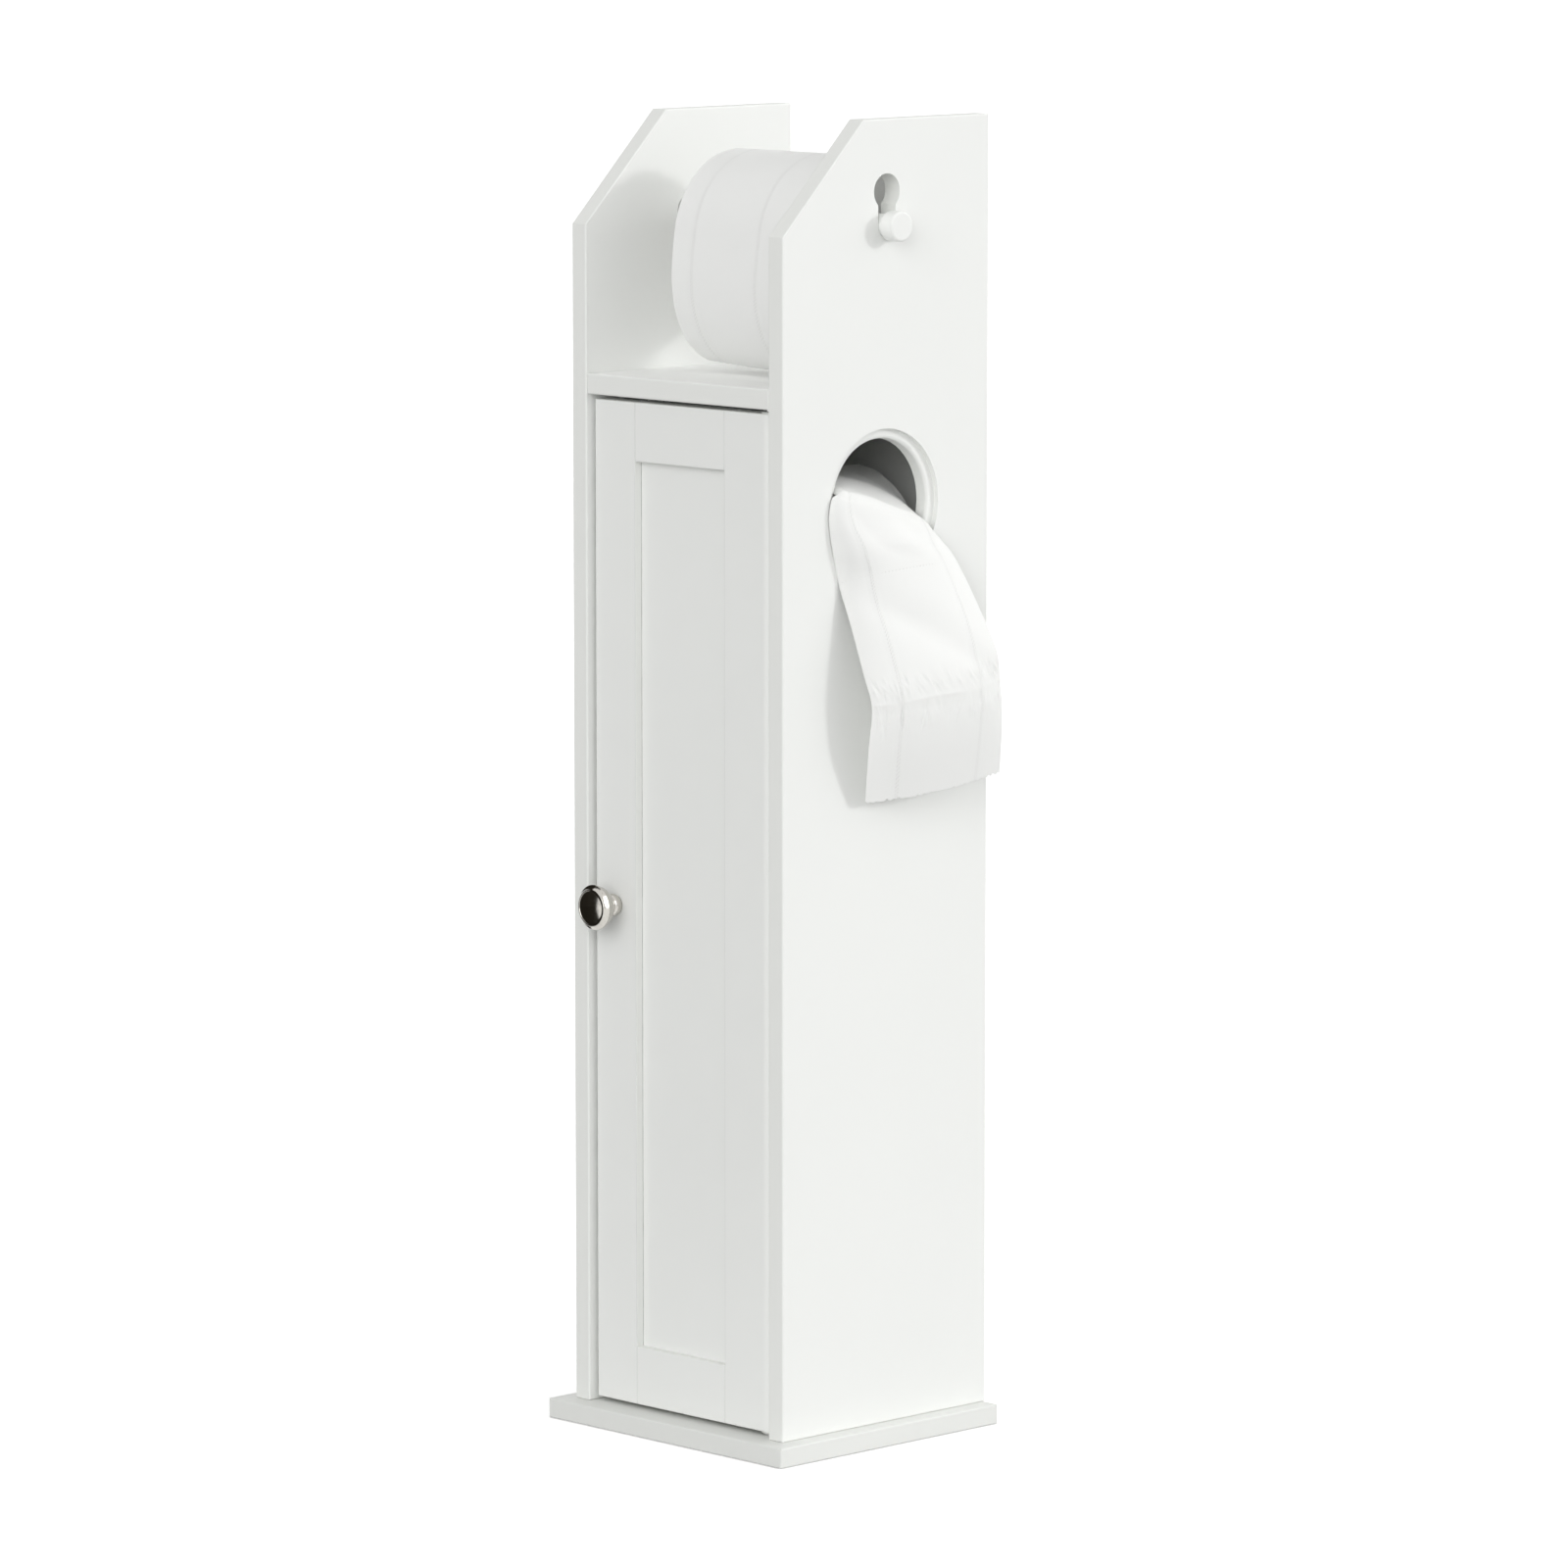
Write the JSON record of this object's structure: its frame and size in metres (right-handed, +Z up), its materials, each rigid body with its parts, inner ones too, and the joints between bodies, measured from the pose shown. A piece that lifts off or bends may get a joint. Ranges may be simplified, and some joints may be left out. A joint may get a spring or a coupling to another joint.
{
  "type": "toilet roll storage cabinet",
  "caption": "Tall narrow white floor cabinet with an open roll bay and lift-out bar over a knobbed shaker door, and a round side hole that pays out paper from a stored roll.",
  "frame": {"origin": "centre of the base plate's underside, on the floor", "axes": "+Z up, the door faces -Y, the paper hole is in the side panel at +X"},
  "size_m": [0.2291, 0.187, 0.78],
  "materials": {
    "painted_board": "smooth white satin paint on fibreboard",
    "painted_hardboard": "white paint on thin hardboard",
    "painted_wood": "white satin paint on turned wood",
    "beech": "bare",
    "steel": "bright zinc plate",
    "zinc": "dull zinc plate",
    "magnet": "ferrite between steel pole plates",
    "knob_metal": "antique pewter, satin turned",
    "nylon": "matte",
    "tissue": "soft white tissue with lines of small embossed marks",
    "card": "grey-brown wound card"
  },
  "bodies": {
    "cabinet": {"base_plate": "painted_board", "left_side_panel": "painted_board", "right_side_panel": "painted_board", "fixed_shelf": "painted_board", "back_panel": "painted_hardboard", "inner_shelf": "painted_board", "shelf_pins": "steel", "wood_dowels": "beech", "cam_locks": "zinc", "cam_bolts": "zinc", "base_screws": "zinc", "hinge_pins": "steel", "catch_housing": "nylon", "catch_magnet": "magnet", "catch_screws": "zinc", "paper_tail": "tissue"},
    "door": {"hinge_bushes": "nylon", "door_knob_stile": "painted_board", "door_hinge_stile": "painted_board", "door_top_rail": "painted_board", "door_bottom_rail": "painted_board", "door_panel": "painted_board", "door_knob": "knob_metal", "knob_screw": "zinc", "strike_plate": "steel", "strike_screw": "zinc"},
    "bar": {"roll_bar": "painted_wood", "upper_roll_flap": "tissue"},
    "upper_roll": {"upper_roll_paper": "tissue", "upper_roll_core": "card"},
    "lower_roll": {"lower_roll_paper": "tissue", "lower_roll_core": "card"}
  },
  "joints": [
    {"name": "door_hinge", "type": "hinge", "parent": "cabinet", "child": "door", "pos_m": [0.0675, -0.0655, 0.3134], "axis": [0, 0, 1], "range_deg": [0, 95]},
    {"name": "bar_lift", "type": "hinge", "parent": "cabinet", "child": "bar", "pos_m": [-0.081, 0.006, 0.7182], "axis": [0, -1, 0], "range_deg": [0, 6.4]},
    {"name": "upper_roll_spin", "type": "hinge", "parent": "bar", "child": "upper_roll", "pos_m": [0.015, 0.006, 0.705], "axis": [1, 0, 0], "continuous": true},
    {"name": "lower_roll_spin", "type": "hinge", "parent": "cabinet", "child": "lower_roll", "pos_m": [0.0165, 0.006, 0.5183], "axis": [0, 1, 0], "continuous": true}
  ]
}
